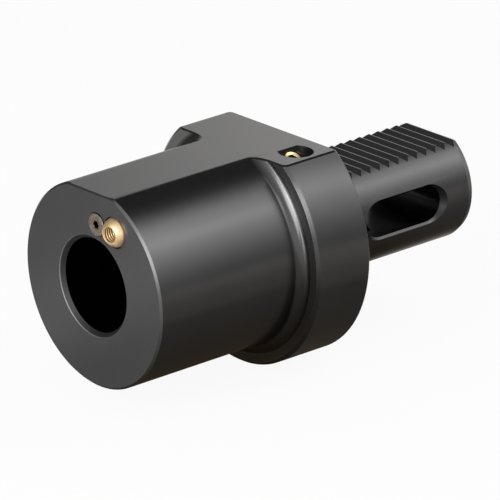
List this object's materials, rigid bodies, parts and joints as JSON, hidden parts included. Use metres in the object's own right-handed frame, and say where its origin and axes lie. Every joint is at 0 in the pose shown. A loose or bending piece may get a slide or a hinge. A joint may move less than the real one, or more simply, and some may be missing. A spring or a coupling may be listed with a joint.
{
  "type": "turret tool holder",
  "caption": "Turret tool holder: toothed cylindrical shank, round collar, Morse taper socket with drift slot, milled flat and a swivelling coolant nozzle.",
  "frame": {"origin": "on the tool's axis, in the collar's rear seat face", "axes": "+X along the axis towards the end of the shank, +Z normal to the milled flat, +Y across"},
  "size_m": [0.146, 0.083, 0.0735],
  "materials": {
    "black_oxide_steel": "ground and black oxidised, satin",
    "seal_rubber": "matt",
    "nozzle_brass": "turned, bright",
    "screw_steel": "oiled, satin",
    "plug_brass": "turned, bright"
  },
  "bodies": {
    "holder": {"holder_body": "black_oxide_steel", "shank_seal_ring": "seal_rubber"},
    "nozzle_seat": {"nozzle_seal_ring": "seal_rubber"},
    "nozzle": {"nozzle_ball": "nozzle_brass"},
    "clamp_screw": {"nozzle_clamp_screw": "screw_steel"},
    "plug": {"port_plug": "plug_brass"}
  },
  "joints": [
    {"name": "nozzle_swivel", "type": "hinge", "parent": "holder", "child": "nozzle_seat", "pos_m": [-0.0784, -0.012, 0.0211], "axis": [1, 0, 0], "continuous": true},
    {"name": "nozzle_tilt", "type": "hinge", "parent": "nozzle_seat", "child": "nozzle", "pos_m": [-0.0784, -0.012, 0.0211], "axis": [0, 0.1736, 0.9848], "range_deg": [-28, 8]},
    {"name": "clamp_screw_turn", "type": "hinge", "parent": "holder", "child": "clamp_screw", "pos_m": [-0.08035, -0.0034, 0.0216], "axis": [-1, 0, 0], "range_deg": [0, 180]},
    {"name": "plug_unscrew", "type": "slide", "parent": "holder", "child": "plug", "axis": [0, -0.5, 0.866], "range_m": [0, 0.007]}
  ]
}
